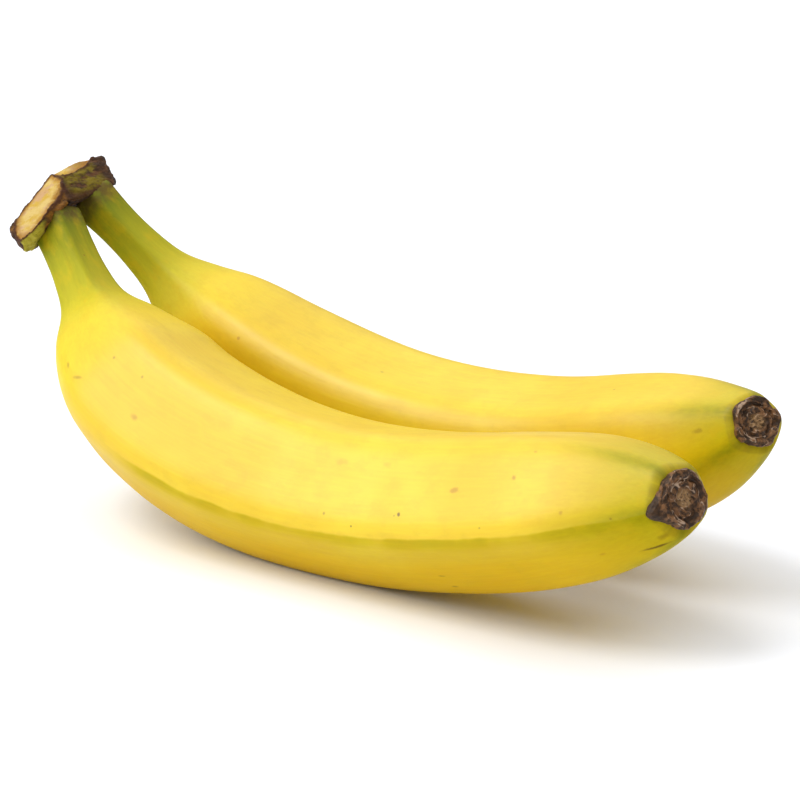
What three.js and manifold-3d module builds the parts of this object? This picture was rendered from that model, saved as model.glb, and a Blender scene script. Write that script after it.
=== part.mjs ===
// A bunch of two ripe bananas that still hang together at the crown, lying on its rounded backs.
// Millimetres, +Z up. The bunch lies along X with the crown at -X and the blossom ends at +X,
// and Z = 0 is the surface it rests on. The origin is the middle of its footprint.

import * as THREE from 'three';
import { ConvexGeometry } from 'three/addons/geometries/ConvexGeometry.js';
import { mergeVertices } from 'three/addons/utils/BufferGeometryUtils.js';
import Module from 'manifold-3d';

// Clearance kept between pieces that meet.
const GAP = 0.3;

// A banana's section is a softly rounded pentagon, with a ridge at each corner.
const RIDGES = 5;
const CORNER_SHARPNESS = 11;
const POINTS_PER_FACE = 6;
const POINTS_ROUND = RIDGES * POINTS_PER_FACE;
const STATIONS = 60;

// Each banana is measured along its centreline, from the crown to the blossom end.
// bend is in degrees turned per centimetre towards the hollow side, at the fractions BEND_AT.
// sway is the same towards -Y, at the fractions SWAY_AT, and radius is in mm at RADIUS_AT.
const BEND_AT = [0, 0.07, 0.14, 0.21, 0.28, 0.38, 0.5, 0.75, 1];
const SWAY_AT = [0, 0.07, 0.14, 0.21, 0.3, 0.4, 0.5, 1];
const RADIUS_AT = [0, 0.04, 0.08, 0.12, 0.16, 0.2, 0.24, 0.3, 0.36, 0.5, 0.68, 0.82, 0.9, 0.96, 1];

// middle is the place of the centreline's midpoint, where heading, pitch and roll are given too.
// firstRidge is the angle of a ridge, from the hollow side round towards -Y.
// endTurn is how far the scar faces round from the centreline's own direction towards -Y.
const FRONT_BANANA = {
  length: 207.8,
  middle: [0.3, -20.7, 17.9],
  heading: 4.2,
  pitch: -2.0,
  roll: -26.3,
  bend: [-2.5, 0.1, 3.4, 7.2, 7.3, 4.4, 3.4, 1.5, -2.2],
  sway: [0.1, 0.5, 0.8, -0.9, -1.4, 1.1, 2.2, 0.4],
  radius: [6.1, 5.8, 6.1, 7.6, 12.2, 15.6, 17.8, 18.3, 18.4, 17.6, 17.0, 16.2, 14.1, 10.3, 6.3],
  firstRidge: 51.6,
  endTurn: 9.7,
};
const BACK_BANANA = {
  length: 208.4,
  middle: [-2.5, 22.1, 18.2],
  heading: 7.7,
  pitch: -1.8,
  roll: 4.7,
  bend: [-0.5, 0.5, 2.0, 4.0, 5.7, 5.9, 4.6, 2.7, 2.6],
  sway: [0.2, 0.6, 0.8, 0.3, -0.1, 0.5, 1.6, 3.1],
  radius: [5.5, 4.9, 5.1, 6.3, 9.7, 13.4, 15.5, 17.1, 17.9, 17.7, 16.6, 15.6, 12.6, 8.6, 5.4],
  firstRidge: 43.3,
  endTurn: 6.8,
};

// The last part of the peel turns with the scar, from this fraction on.
const END_TURN_FROM = 0.9;

// The necks run on up into the crown by this much, and the crown then trims them.
const NECK_OVERRUN = 5;

// Crown frame: X out of the hollow side, Y across the two necks and Z back along the necks.
const CROWN_CENTRE = [-93.3, -1.5, 61.2];
const CROWN_LEAN = 38.5;
const CROWN_REACH = 12;

// The crown is a bar over both necks, given by its corners in the crown frame.
const CROWN_BAR = [
  // Lower rim, round from the hollow side to the back.
  [8.6, -9.7, 0.0], [8.2, -4.3, -0.5], [8.0, 2.3, 1.1], [8.0, 7.0, 1.4], [5.0, 11.0, 2.8],
  [-1.0, 13.5, 4.2], [-6.5, 11.5, 3.6], [-7.0, -8.0, 0.5],
  // Upper rim, the same way round, where the stalk was cut.
  [8.2, -7.8, 4.7], [3.5, -5.1, 8.9], [3.8, 3.4, 10.6], [6.0, 9.7, 9.3], [4.5, 11.4, 9.9],
  [-1.0, 13.5, 10.8], [-5.5, 11.0, 9.6], [-5.5, -4.0, 8.4],
];

// A slab joins it on the -Y side, slanting down to where the next banana was cut away.
const CROWN_SLAB = [
  // The slanting cut face.
  [3.5, -5.1, 8.9], [8.2, -7.8, 4.7], [8.2, -10.0, 1.7], [7.5, -15.6, -1.6], [5.5, -21.2, -4.7],
  [2.5, -22.4, -5.0], [-1.0, -21.2, -0.4], [-0.5, -17.5, 1.4],
  // Its back.
  [-5.5, -4.0, 8.4], [-6.0, -16.0, -0.5], [-7.0, -12.0, -3.5], [-7.0, -8.0, 0.5],
  // Its underside, against the neck.
  [0.5, -21.1, -6.9], [4.5, -19.4, -6.0], [8.6, -9.7, -0.8], [-2.5, -14.4, -6.1],
];

// Blossom-end scar: a dried, raised disc with a lip, a groove and a small boss. Its profile is
// given as shares of its length and radius, and its corners are softer than the peel's.
const SCAR_LENGTH = 2.4;
const SCAR_CORNERS = 0.35;
const SCAR_PROFILE = [
  [0, 0.96], [0.35, 1.04], [0.75, 1.02], [1.0, 0.9], [1.0, 0.72],
  [0.82, 0.62], [0.82, 0.46], [1.0, 0.38], [1.0, 0.24], [0.86, 0.12],
];

// waves is how uneven the scar's rim is, as a share of its radius.
const FRONT_SCAR = { radius: 6.0, waves: 0.035 };
const BACK_SCAR = { radius: 5.3, waves: 0.03 };
const WAVES_ROUND = 3;

// A dried lobe beside the front scar: how far out it is, and its half sizes.
const LOBE_OUT = 7.1;
const LOBE_SIZE = [2.7, 2.7, 2.2];

// The resting surface is cut as the top of a block, which leaves a flat spot under each banana.
const GROUND_SIZE = [400, 200, 40];

const wasm = await Module();
wasm.setup();

const PEEL = new THREE.MeshStandardMaterial({ color: 0xecd23c, roughness: 0.45, metalness: 0 });
const CROWN_WOOD = new THREE.MeshStandardMaterial({ color: 0x7a5a2c, roughness: 0.8, metalness: 0 });
const SCAR_HUSK = new THREE.MeshStandardMaterial({ color: 0x3e2a22, roughness: 0.8, metalness: 0 });

const radians = THREE.MathUtils.degToRad;

// A smooth curve through values given at fractions.
function smoothly(fractions, values) {
  const curve = new THREE.CubicInterpolant(fractions, values, 1);
  return (fraction) => curve.evaluate(THREE.MathUtils.clamp(fraction, 0, 1))[0];
}

// Straight lines between values given at fractions.
function evenly(fractions, values) {
  const line = new THREE.LinearInterpolant(fractions, values, 1);
  return (fraction) => line.evaluate(THREE.MathUtils.clamp(fraction, 0, 1))[0];
}

// Frames along the centreline, worked out both ways from the middle by turning as it bends.
function centreline(banana) {
  const bend = evenly(BEND_AT, banana.bend);
  const sway = evenly(SWAY_AT, banana.sway);
  const start = -NECK_OVERRUN / banana.length;
  const end = 1 - SCAR_LENGTH / banana.length;
  const pose = new THREE.Euler(
    radians(banana.roll), radians(-banana.pitch), radians(banana.heading), 'ZYX');

  const walk = (from, to, steps) => {
    const frames = [];
    const point = new THREE.Vector3(...banana.middle);
    const along = new THREE.Vector3(1, 0, 0).applyEuler(pose);
    const hollow = new THREE.Vector3(0, 0, 1).applyEuler(pose);
    const step = (to - from) / steps;
    const distance = step * banana.length;
    for (let i = 0; i <= steps; i += 1) {
      const fraction = from + i * step;
      const side = new THREE.Vector3().crossVectors(along, hollow);
      const turn = banana.endTurn * THREE.MathUtils.smoothstep(fraction, END_TURN_FROM, end);
      frames.push({
        fraction,
        point: point.clone(),
        hollow: hollow.clone(),
        side: side.clone().applyAxisAngle(hollow, radians(-turn)),
      });
      const halfway = fraction + step / 2;
      const turned = new THREE.Vector3()
        .addScaledVector(hollow, radians(bend(halfway) / 10) * distance)
        .addScaledVector(side, radians(sway(halfway) / 10) * distance);
      const onward = along.clone().addScaledVector(turned, 0.5).normalize();
      point.addScaledVector(onward, distance);
      along.add(turned).normalize();
      hollow.addScaledVector(along, -hollow.dot(along)).normalize();
    }
    return frames;
  };

  const half = STATIONS / 2;
  const towardsCrown = walk(0.5, start, half).slice(1).reverse();
  const towardsEnd = walk(0.5, end, half);
  return [...towardsCrown, ...towardsEnd];
}

// How far a rounded pentagon stands out at an angle, as a share of its mean radius.
function roundedPentagon(firstRidge) {
  const reach = (angle) => {
    let sum = 0;
    for (let face = 0; face < RIDGES; face += 1) {
      const facing = firstRidge + (face + 0.5) * 360 / RIDGES;
      sum += Math.max(0, Math.cos(radians(angle - facing))) ** CORNER_SHARPNESS;
    }
    return sum ** (-1 / CORNER_SHARPNESS);
  };
  let mean = 0;
  for (let i = 0; i < POINTS_ROUND; i += 1) {
    mean += reach(firstRidge + i * 360 / POINTS_ROUND) / POINTS_ROUND;
  }
  return (angle) => reach(angle) / mean;
}

// A closed ring of points about a frame, at the reach given for each angle.
function ringAbout({ point, hollow, side }, firstAngle, reachAt) {
  const ring = [];
  for (let i = 0; i < POINTS_ROUND; i += 1) {
    const angle = firstAngle + i * 360 / POINTS_ROUND;
    ring.push(point.clone()
      .addScaledVector(hollow, reachAt(angle) * Math.cos(radians(angle)))
      .addScaledVector(side, reachAt(angle) * Math.sin(radians(angle))));
  }
  return ring;
}

// A closed skin over rings of points, each ring running the same way round.
function skinOver(rings) {
  const count = rings[0].length;
  const last = rings.length - 1;
  const middleOf = (ring) => ring
    .reduce((sum, point) => sum.add(point), new THREE.Vector3())
    .divideScalar(count);
  const points = [...rings.flat(), middleOf(rings[0]), middleOf(rings[last])];
  const faces = [];
  for (let i = 0; i < last; i += 1) {
    for (let j = 0; j < count; j += 1) {
      const next = (j + 1) % count;
      const [a, b] = [i * count + j, i * count + next];
      const [c, d] = [a + count, b + count];
      faces.push(a, b, d, a, d, c);
    }
  }
  for (let j = 0; j < count; j += 1) {
    const next = (j + 1) % count;
    faces.push(points.length - 2, next, j);
    faces.push(points.length - 1, last * count + j, last * count + next);
  }
  const skin = new THREE.BufferGeometry().setFromPoints(points);
  skin.setIndex(faces);
  return skin;
}

// One banana's skin, made thicker all round by extra.
function peel(banana, frames, extra = 0) {
  const radius = smoothly(RADIUS_AT, banana.radius);
  const pentagon = roundedPentagon(banana.firstRidge);
  return skinOver(frames.map((frame) => ringAbout(
    frame, banana.firstRidge, (angle) => radius(frame.fraction) * pentagon(angle) + extra)));
}

// A block with the given corners in the crown frame. The room that it takes from the necks is
// larger all round by extra, and also clears everything above it by rise.
function crownBlock(corners, extra = 0, rise = 0) {
  const points = corners.flatMap(([x, y, z]) => (
    [new THREE.Vector3(x, y, z), new THREE.Vector3(x, y, z + rise)]));
  const centre = points
    .reduce((sum, point) => sum.add(point), new THREE.Vector3())
    .divideScalar(points.length);
  points.forEach((point) => point.addScaledVector(point.clone().sub(centre).normalize(), extra));
  const block = new ConvexGeometry(points);
  block.rotateY(radians(-CROWN_LEAN));
  block.translate(...CROWN_CENTRE);
  return block;
}

// A closed geometry as a solid that can be joined and cut.
function solid(geometry) {
  const bare = geometry.clone();
  bare.deleteAttribute('normal');
  bare.deleteAttribute('uv');
  const merged = mergeVertices(bare, 1e-4);
  return new wasm.Manifold(new wasm.Mesh({
    numProp: 3,
    vertProperties: new Float32Array(merged.attributes.position.array),
    triVerts: new Uint32Array(merged.index.array),
  }));
}

// A finished piece of the bunch.
function piece(name, body, material) {
  const { vertProperties, triVerts } = body.getMesh();
  const geometry = new THREE.BufferGeometry();
  geometry.setAttribute('position', new THREE.BufferAttribute(vertProperties, 3));
  geometry.setIndex(new THREE.BufferAttribute(triVerts, 1));
  geometry.computeVertexNormals();
  const mesh = new THREE.Mesh(geometry, material);
  mesh.name = name;
  return mesh;
}

// The last frame, where the peel ends and the scar begins.
function scarFrame(frames) {
  const last = frames[frames.length - 1];
  return { ...last, along: new THREE.Vector3().crossVectors(last.hollow, last.side) };
}

// The dried scar disc, built up in rings from where the peel ends.
function scar(banana, frames, shape) {
  const base = scarFrame(frames);
  const pentagon = roundedPentagon(banana.firstRidge);
  const rim = (angle) => shape.radius * pentagon(angle) ** SCAR_CORNERS
    * (1 + shape.waves * Math.sin(radians(WAVES_ROUND * angle)));
  return solid(skinOver(SCAR_PROFILE.map(([height, width]) => {
    const rise = GAP + height * (SCAR_LENGTH - GAP);
    const frame = { ...base, point: base.point.clone().addScaledVector(base.along, rise) };
    return ringAbout(frame, 0, (angle) => width * rim(angle));
  })));
}

// A lump beside the scar, where a dead flower leaf stood at the end of the second ridge.
function scarLobe(banana, frames) {
  const base = scarFrame(frames);
  const angle = radians(banana.firstRidge + 360 / RIDGES);
  const out = base.hollow.clone().multiplyScalar(Math.cos(angle))
    .addScaledVector(base.side, Math.sin(angle));
  const across = new THREE.Vector3().crossVectors(out, base.along);
  const lobe = new THREE.SphereGeometry(1, 16, 10);
  lobe.scale(...LOBE_SIZE);
  lobe.applyMatrix4(new THREE.Matrix4().makeBasis(base.along, across, out));
  lobe.translate(...base.point.clone().addScaledVector(out, LOBE_OUT).toArray());
  return solid(lobe);
}

const frontFrames = centreline(FRONT_BANANA);
const backFrames = centreline(BACK_BANANA);

const crown = solid(crownBlock(CROWN_BAR)).add(solid(crownBlock(CROWN_SLAB)));
const crownRoom = solid(crownBlock(CROWN_BAR, 1.5 * GAP, CROWN_REACH))
  .add(solid(crownBlock(CROWN_SLAB, 1.5 * GAP, CROWN_REACH)));
const ground = solid(new THREE.BoxGeometry(...GROUND_SIZE).translate(0, 0, -GROUND_SIZE[2] / 2));

const frontBanana = solid(peel(FRONT_BANANA, frontFrames)).subtract(crownRoom).subtract(ground);
const backBanana = solid(peel(BACK_BANANA, backFrames)).subtract(crownRoom).subtract(ground);
const frontScar = scar(FRONT_BANANA, frontFrames, FRONT_SCAR)
  .add(scarLobe(FRONT_BANANA, frontFrames))
  .subtract(solid(peel(FRONT_BANANA, frontFrames, GAP)));
const backScar = scar(BACK_BANANA, backFrames, BACK_SCAR);

const bunch = new THREE.Group();
bunch.add(
  piece('front_banana', frontBanana, PEEL.clone()),
  piece('back_banana', backBanana, PEEL.clone()),
  piece('crown', crown, CROWN_WOOD),
  piece('front_scar', frontScar, SCAR_HUSK.clone()),
  piece('back_scar', backScar, SCAR_HUSK.clone()),
);

export default bunch;
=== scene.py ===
"""Two ripe bananas on one crown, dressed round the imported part, in a pale studio.

Shapes are worked out in millimetres in the part's frame and stored in metres: +Z is up, the
crown is at -X, the blossom ends are at +X and Z = 0 is the surface that the bunch lies on.
"""

import logging
import math
from bisect import bisect_right
from dataclasses import dataclass, field
from enum import Enum
from functools import partial
from typing import Any, Callable, ClassVar, Sequence

import bmesh
import bpy
from bmesh.types import BMEdge, BMesh, BMVert
from bpy.types import Material, NodeSocket, NodeTree, Object
from mathutils import Euler, Matrix, Quaternion, Vector, noise

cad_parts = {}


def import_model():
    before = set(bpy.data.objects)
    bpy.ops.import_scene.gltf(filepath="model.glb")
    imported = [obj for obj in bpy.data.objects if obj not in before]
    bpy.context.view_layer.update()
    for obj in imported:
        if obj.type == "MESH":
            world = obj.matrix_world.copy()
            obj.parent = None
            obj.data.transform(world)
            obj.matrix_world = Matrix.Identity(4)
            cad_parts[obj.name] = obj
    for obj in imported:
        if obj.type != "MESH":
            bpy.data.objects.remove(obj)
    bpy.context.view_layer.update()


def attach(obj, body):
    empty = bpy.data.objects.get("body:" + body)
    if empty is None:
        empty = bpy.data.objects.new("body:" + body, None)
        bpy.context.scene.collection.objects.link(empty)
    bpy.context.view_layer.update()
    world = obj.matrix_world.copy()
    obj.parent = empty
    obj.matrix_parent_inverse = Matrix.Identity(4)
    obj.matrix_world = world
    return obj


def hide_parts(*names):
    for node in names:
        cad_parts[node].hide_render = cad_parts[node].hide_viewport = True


LOG = logging.getLogger("bananas")

# One millimetre in metres.
MM = 0.001
# A banana's section is a rounded pentagon.
RIDGES = 5
# Millimetres: from the peel's end to the scar's foot, the scar's length, and the neck in the crown.
GAP = 0.3
SCAR_LENGTH = 2.4
NECK_OVERRUN = 1.5
# The share of the length from which the section turns towards the scar.
END_TURN_FROM = 0.8

# The shares of a banana's length at which its bend, sway and radius are given.
BEND_AT = (0, 0.07, 0.14, 0.21, 0.28, 0.38, 0.5, 0.75, 1)
SWAY_AT = (0, 0.07, 0.14, 0.21, 0.3, 0.4, 0.5, 1)
RADIUS_AT = (0, 0.04, 0.08, 0.12, 0.16, 0.2, 0.24, 0.3, 0.36, 0.5, 0.68, 0.82, 0.9, 0.96, 1)

# The crown frame's origin in the part's frame, in mm, and its lean in degrees.
CROWN_CENTRE = (-93.3, -1.5, 61.2)
CROWN_LEAN = 38.5


class Run(Enum):
    """How values run between the fractions that they are given at."""

    SMOOTH = "smooth"
    STRAIGHT = "straight"


class CutFace(Enum):
    """The two faces that a knife left on the crown, by their corners in the crown frame."""

    SLANTING = (
        (3.5, -5.1, 8.9), (7.5, -6.9, 5.8), (8.5, -8.9, 3.4), (8.2, -10.0, 1.7),
        (7.5, -15.6, -1.6), (5.5, -21.2, -4.7), (2.5, -22.4, -5.0), (-1.0, -21.2, -0.4),
        (-0.5, -17.5, 1.4), (-5.5, -4.0, 8.4),
    )
    TOP = (
        (7.2, -6.1, 6.1), (7.0, -2.9, 6.7), (6.4, 3.5, 8.0), (4.9, 7.6, 9.6), (-1.0, 13.5, 10.8),
        (-5.5, 11.0, 9.6), (-5.5, -4.0, 8.4), (3.5, -5.1, 8.9),
    )


class Node(Enum):
    """The shader nodes in use: type name, settings, inputs in order, and the output that counts."""

    ATTRIBUTE = ("ShaderNodeAttribute", {}, (), "Fac")
    PLACE = ("ShaderNodeTexCoord", {}, (), "Object")
    MAPPING = ("ShaderNodeMapping", {}, ("Vector", "Location", "Rotation", "Scale"), 0)
    NOISE = ("ShaderNodeTexNoise", {}, ("Vector", "Scale", "Detail", "Roughness"), "Fac")
    CELLS = ("ShaderNodeTexVoronoi", {}, ("Vector", "Scale"), "Distance")
    SPLIT = ("ShaderNodeSeparateColor", {}, ("Color",), "Red")
    RAMP = ("ShaderNodeValToRGB", {}, ("Fac",), "Color")
    LENGTH = ("ShaderNodeVectorMath", {"operation": "LENGTH"}, (0,), "Value")
    PLUS = ("ShaderNodeMath", {"operation": "ADD"}, (0, 1), 0)
    MINUS = ("ShaderNodeMath", {"operation": "SUBTRACT"}, (0, 1), 0)
    TIMES = ("ShaderNodeMath", {"operation": "MULTIPLY"}, (0, 1), 0)
    OVER = ("ShaderNodeMath", {"operation": "DIVIDE"}, (0, 1), 0)
    POWER = ("ShaderNodeMath", {"operation": "POWER"}, (0, 1), 0)
    EASE = ("ShaderNodeMapRange", {"interpolation_type": "SMOOTHSTEP"},
            ("Value", "From Min", "From Max", "To Min", "To Max"), "Result")
    COAT = ("ShaderNodeMix", {"data_type": "RGBA"}, (0, 6, 7), 2)
    BUMP = ("ShaderNodeBump", {}, ("Height", "Distance", "Strength"), 0)
    SHADER = ("ShaderNodeBsdfPrincipled", {},
              ("Base Color", "Roughness", "Normal", "IOR", "Specular IOR Level"), 0)
    SURFACE = ("ShaderNodeOutputMaterial", {}, ("Surface",), None)
    SKY = ("ShaderNodeBackground", {}, ("Color", "Strength"), 0)
    WORLD = ("ShaderNodeOutputWorld", {}, ("Surface",), None)


# The crown's corners in the crown frame, in mm: its top, the bar over both necks, and the slab.
CROWN_TOP = (
    (3.5, -5.1, 8.9), (-5.5, -4.0, 8.4), (-5.5, 11.0, 9.6), (-1.0, 13.5, 10.8), (4.5, 11.4, 9.9),
    (6.0, 9.7, 9.3), (3.8, 3.4, 10.6),
)

CROWN_BAR = (
    (8.6, -9.7, 0.0), (8.2, -4.3, -0.5), (8.0, 2.3, 1.1), (8.0, 7.0, 1.4), (5.0, 11.0, 2.8),
    (-1.0, 13.5, 4.2), (-6.5, 11.5, 3.6), (-7.0, -8.0, 0.5), (8.2, -7.8, 4.7),
) + CROWN_TOP

CROWN_SLAB = (
    (3.5, -5.1, 8.9), (8.2, -7.8, 4.7), (8.2, -10.0, 1.7), (7.5, -15.6, -1.6), (5.5, -21.2, -4.7),
    (2.5, -22.4, -5.0), (-1.0, -21.2, -0.4), (-0.5, -17.5, 1.4), (-5.5, -4.0, 8.4),
    (-6.0, -16.0, -0.5), (-7.0, -12.0, -3.5), (-7.0, -8.0, 0.5), (0.5, -21.1, -6.9),
    (4.5, -19.4, -6.0), (8.6, -9.7, -0.8), (-2.5, -14.4, -6.1),
)


def smoothstep(value: float, low: float, high: float) -> float:
    """Ease a value from 0 at low to 1 at high, which may be less than low."""
    share = min(max((value - low) / (high - low), 0.0), 1.0)
    return share * share * (3 - 2 * share)


def linear(hex_colour: str) -> tuple[float, float, float, float]:
    """Turn an sRGB hex colour into the linear colour that nodes use.

    Args:
        hex_colour: six hex digits.

    Returns:
        Linear red, green and blue, and an alpha of 1.
    """
    parts = [int(hex_colour[i:i + 2], 16) / 255 for i in (0, 2, 4)]
    lit = [c / 12.92 if c <= 0.04045 else ((c + 0.055) / 1.055) ** 2.4 for c in parts]
    return (lit[0], lit[1], lit[2], 1.0)


def size_mm(size: float) -> float:
    """Give the texture scale at which a pattern on metres repeats about every size mm."""
    return 1 / (size * MM)


def add(tree: NodeTree, node: Node, *values: Any, output: str | None = None,
        stops: Sequence[tuple[float, str]] = (), **settings: Any) -> NodeSocket | None:
    """Add a node with its settings, its colour stops and its links.

    Args:
        tree: the node tree to add to.
        node: which node to add.
        *values: for each input in order a value, or the socket that feeds it.
        output: the name of an output other than the usual one.
        stops: positions and hex colours for a colour ramp.
        **settings: the node's own properties.

    Returns:
        The output that counts, or None for a node that ends the tree.
    """
    kind, usual, sockets, main_output = node.value
    made = tree.nodes.new(kind)
    for name, value in {**usual, **settings}.items():
        setattr(made, name, value)
    if stops:
        elements = made.color_ramp.elements
        while len(elements) > 1:
            elements.remove(elements[-1])
        elements[0].position = stops[0][0]
        elements[0].color = linear(stops[0][1])
        for position, colour in stops[1:]:
            elements.new(position).color = linear(colour)
    for socket, value in zip(sockets, values):
        if isinstance(value, NodeSocket):
            tree.links.new(value, made.inputs[socket])
        else:
            made.inputs[socket].default_value = value
    return made.outputs[output or main_output] if made.outputs else None


def coated(tree: NodeTree, ground: Any, coats: Sequence[tuple[Any, str]]) -> NodeSocket:
    """Lay coats of colour over a ground.

    Args:
        tree: the node tree to add to.
        ground: the colour under the coats, or the socket that gives it.
        coats: for each coat how much of it shows and its hex colour.

    Returns:
        The colour with its coats on.
    """
    for share, colour in coats:
        ground = add(tree, Node.COAT, share, ground, linear(colour))
    return ground


def new_material(name: str) -> tuple[Material, NodeTree]:
    """Make an empty node material.

    Args:
        name: what the material is called.

    Returns:
        The material and its node tree.
    """
    material = bpy.data.materials.new(name)
    material.use_nodes = True
    material.node_tree.nodes.clear()
    return material, material.node_tree


def placed(name: str, data: Any) -> Object:
    """Put a new object with this data into the scene."""
    made = bpy.data.objects.new(name, data)
    bpy.context.scene.collection.objects.link(made)
    return made


def finish_mesh(name: str, bm: BMesh) -> Object:
    """Turn a bmesh in millimetres into a shown object in metres at the origin.

    Args:
        name: the object's name.
        bm: the mesh, which is freed.

    Returns:
        The new object.
    """
    bmesh.ops.scale(bm, vec=(MM, MM, MM), verts=bm.verts)
    bmesh.ops.recalc_face_normals(bm, faces=bm.faces)
    for face in bm.faces:
        face.smooth = True
    mesh = bpy.data.meshes.new(name)
    bm.to_mesh(mesh)
    bm.free()
    return placed(name, mesh)


def fused(bm: BMesh, voxel: float) -> BMesh:
    """Fuse closed shells into one skin of small even faces.

    Args:
        bm: the shells, in millimetres; it is freed.
        voxel: the size of the new faces, in millimetres.

    Returns:
        The fused skin as a new bmesh, in millimetres.
    """
    mesh = bpy.data.meshes.new("shells")
    bmesh.ops.recalc_face_normals(bm, faces=bm.faces)
    bm.to_mesh(mesh)
    bm.free()
    holder = placed("shells", mesh)
    remesh = holder.modifiers.new("fuse", "REMESH")
    remesh.mode = "VOXEL"
    remesh.voxel_size = voxel
    graph = bpy.context.evaluated_depsgraph_get()
    skin = bpy.data.meshes.new_from_object(holder.evaluated_get(graph))
    bpy.data.objects.remove(holder)
    bpy.data.meshes.remove(mesh)
    result = bmesh.new()
    result.from_mesh(skin)
    bpy.data.meshes.remove(skin)
    result.normal_update()
    return result


def rim_edges(bm: BMesh, ring: Sequence[BMVert]) -> list[BMEdge]:
    """Find the edges with both ends in a ring of vertices."""
    own = set(ring)
    return [e for e in bm.edges if all(v in own for v in e.verts)]


def next_ring(bm: BMesh, ring: Sequence[BMVert]) -> list[BMVert]:
    """Extrude a ring once and give the new one, which still lies where the last one does."""
    made = bmesh.ops.extrude_edge_only(bm, edges=rim_edges(bm, ring))["geom"]
    return [v for v in made if isinstance(v, BMVert)]


@dataclass(frozen=True)
class Curve:
    """Values given at fractions of a banana's length."""

    fractions: Sequence[float]
    values: Sequence[float]
    run: Run = Run.SMOOTH

    def at(self, fraction: float) -> float:
        """Read the curve.

        Args:
            fraction: where to read it; beyond the ends it holds its end values.

        Returns:
            The value there.
        """
        knots, values = self.fractions, self.values
        place = min(max(fraction, knots[0]), knots[-1])
        i = min(bisect_right(knots, place), len(knots) - 1) - 1
        start, end = knots[i], knots[i + 1]
        p = (place - start) / (end - start)
        if self.run is Run.STRAIGHT:
            return values[i] + p * (values[i + 1] - values[i])
        before = i - 1 if i > 0 else i + 1
        after = i + 2 if i + 2 < len(knots) else i
        half = (end - start) / 2
        pull_before = half / (start - knots[before])
        pull_after = half / (knots[after] - end)
        pp, ppp = p * p, p * p * p
        return (
            (-pull_before * ppp + 2 * pull_before * pp - pull_before * p) * values[before]
            + ((1 + pull_before) * ppp - (1.5 + 2 * pull_before) * pp
               + (pull_before - 0.5) * p + 1) * values[i]
            + (-(1 + pull_after) * ppp + (1.5 + pull_after) * pp + 0.5 * p) * values[i + 1]
            + (pull_after * ppp - pull_after * pp) * values[after]
        )


@dataclass(frozen=True)
class Frame:
    """A place on a centreline, with the hollow side's direction and the side towards -Y."""

    fraction: float
    point: Vector
    hollow: Vector
    side: Vector

    def along(self) -> Vector:
        """Give the direction towards the blossom end."""
        return self.hollow.cross(self.side)

    def out(self, degrees: float) -> Vector:
        """Give the direction at an angle from the hollow side round towards -Y."""
        angle = math.radians(degrees)
        return math.cos(angle) * self.hollow + math.sin(angle) * self.side


@dataclass(frozen=True)
class Form:
    """One banana's form: where its middle lies, how it bends and how thick it is."""

    length: float
    middle: tuple[float, float, float]
    heading: float
    pitch: float
    roll: float
    bend: Sequence[float]
    sway: Sequence[float]
    radius: Sequence[float]
    first_ridge: float
    end_turn: float

    def frames(self, steps: int) -> list[Frame]:
        """Walk the centreline both ways from its middle.

        Args:
            steps: how many steps each half takes.

        Returns:
            The frames from inside the crown to where the blossom scar begins.
        """
        bend = Curve(BEND_AT, self.bend, Run.STRAIGHT)
        sway = Curve(SWAY_AT, self.sway, Run.STRAIGHT)
        start = -NECK_OVERRUN / self.length
        end = 1 - SCAR_LENGTH / self.length
        angles = (math.radians(a) for a in (self.roll, -self.pitch, self.heading))
        pose = Euler(tuple(angles), "XYZ").to_matrix()

        def walk(last: float) -> list[Frame]:
            """Walk from the middle.

            Args:
                last: the fraction to walk to.

            Returns:
                The frames on the way, the middle's first.
            """
            point = Vector(self.middle)
            along, hollow = pose @ Vector((1, 0, 0)), pose @ Vector((0, 0, 1))
            step = (last - 0.5) / steps
            distance = step * self.length
            found = []
            for i in range(steps + 1):
                fraction = 0.5 + i * step
                side = along.cross(hollow)
                turn = math.radians(-self.end_turn * smoothstep(fraction, END_TURN_FROM, end))
                found.append(Frame(fraction, point.copy(), hollow.copy(),
                                   Quaternion(hollow, turn) @ side))
                halfway = fraction + step / 2
                turned = (hollow * math.radians(bend.at(halfway) / 10) * distance
                          + side * math.radians(sway.at(halfway) / 10) * distance)
                point += (along + turned / 2).normalized() * distance
                along = (along + turned).normalized()
                hollow = (hollow - along * hollow.dot(along)).normalized()
            return found

        return walk(start)[:0:-1] + walk(end)


class Tint(Enum):
    """The colours of small marks on a peel."""

    AMBER = "bd8412"
    BROWN = "86640e"
    DARK = "5a3c12"


@dataclass(frozen=True)
class Mark:
    """A scratch, rub or speck on the peel: where it is, its size in mm, and how far it turns."""

    along: float
    angle: float
    length: float
    width: float
    strength: float = 0.6
    tint: Tint = Tint.BROWN
    turn: float = 0.0
    depth: ClassVar[float] = 4.0

    def mask(self, tree: NodeTree, form: Form, skin: NodeSocket, grit: NodeSocket) -> NodeSocket:
        """Make the mark's mask: an ellipse that a fine pattern breaks up.

        Args:
            tree: the peel's node tree.
            form: the form of the banana that the mark is on.
            skin: the straightened place on the skin.
            grit: the fine pattern.

        Returns:
            How much of the mark shows.
        """
        node = partial(add, tree)
        radius = Curve(RADIUS_AT, form.radius).at(self.along)
        angle = math.radians(self.angle)
        place = Vector((radius * math.cos(angle), radius * math.sin(angle), self.along * form.length))
        turned = (Matrix.Rotation(angle, 3, "Z")
                  @ Matrix.Rotation(math.radians(self.turn), 3, "X")).to_euler()
        reach = Vector((self.depth, self.width / 2, self.length / 2))
        local = node(Node.MAPPING, skin, place * MM, turned, reach * MM, vector_type="TEXTURE")
        broken = node(Node.TIMES, node(Node.MINUS, grit, 0.5), 1.2)
        away = node(Node.PLUS, node(Node.LENGTH, local), broken)
        return node(Node.EASE, away, 1.2, 0.25, 0.0, self.strength)


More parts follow.
